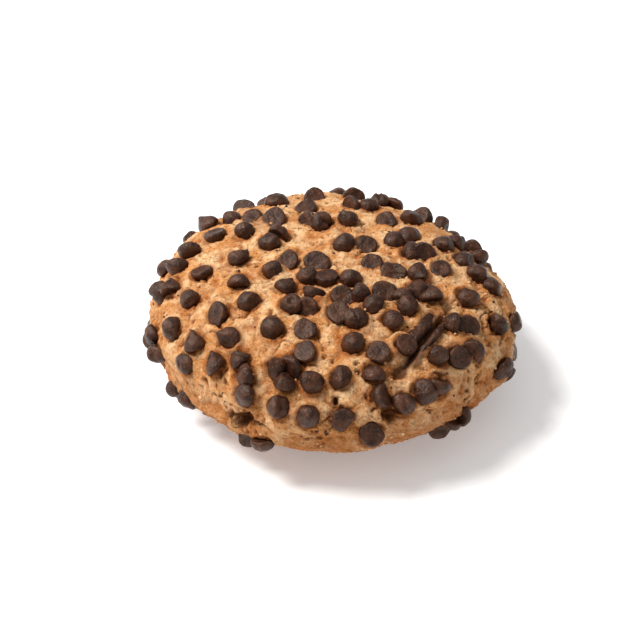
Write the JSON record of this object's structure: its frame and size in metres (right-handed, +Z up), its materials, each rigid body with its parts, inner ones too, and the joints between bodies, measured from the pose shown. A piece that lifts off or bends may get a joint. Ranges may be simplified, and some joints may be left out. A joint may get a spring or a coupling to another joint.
{
  "type": "chocolate chip cookie",
  "caption": "Tall round bakery-style cookie, golden crumbly dough thickly studded with small dark chocolate drops, flat underneath.",
  "frame": {"origin": "centre of the cookie's flat underside", "axes": "+Z up out of the domed top, +X to the right and -Y to the front, the side with the broken chunk on its right"},
  "size_m": [0.112, 0.1145, 0.0458],
  "materials": {
    "dough": "matte",
    "chocolate": "satin"
  },
  "bodies": {
    "root": {"dough": "dough", "chip_01": "chocolate", "chip_02": "chocolate", "chip_03": "chocolate", "chip_04": "chocolate", "chip_05": "chocolate", "chip_06": "chocolate", "chip_07": "chocolate", "chip_08": "chocolate", "chip_09": "chocolate", "chip_10": "chocolate", "chip_11": "chocolate", "chip_12": "chocolate", "chip_13": "chocolate", "chip_14": "chocolate", "chip_15": "chocolate", "chip_16": "chocolate", "chip_17": "chocolate", "chip_18": "chocolate", "chip_19": "chocolate", "chip_20": "chocolate", "chip_21": "chocolate", "chip_22": "chocolate", "chip_23": "chocolate", "chip_24": "chocolate", "chip_25": "chocolate", "chip_26": "chocolate", "chip_27": "chocolate", "chip_28": "chocolate", "chip_29": "chocolate", "chip_30": "chocolate", "chip_31": "chocolate", "chip_32": "chocolate", "chip_33": "chocolate", "chip_34": "chocolate", "chip_35": "chocolate", "chip_36": "chocolate", "chip_37": "chocolate", "chip_38": "chocolate", "chip_39": "chocolate", "chip_40": "chocolate", "chip_41": "chocolate", "chip_42": "chocolate", "chip_43": "chocolate", "chip_44": "chocolate", "chip_45": "chocolate", "chip_46": "chocolate", "chip_47": "chocolate", "chip_48": "chocolate", "chip_49": "chocolate", "chip_50": "chocolate", "chip_51": "chocolate", "chip_52": "chocolate", "chip_53": "chocolate", "chip_54": "chocolate", "chip_55": "chocolate", "chip_56": "chocolate", "chunk_left": "chocolate", "chunk_right": "chocolate"}
  },
  "joints": []
}
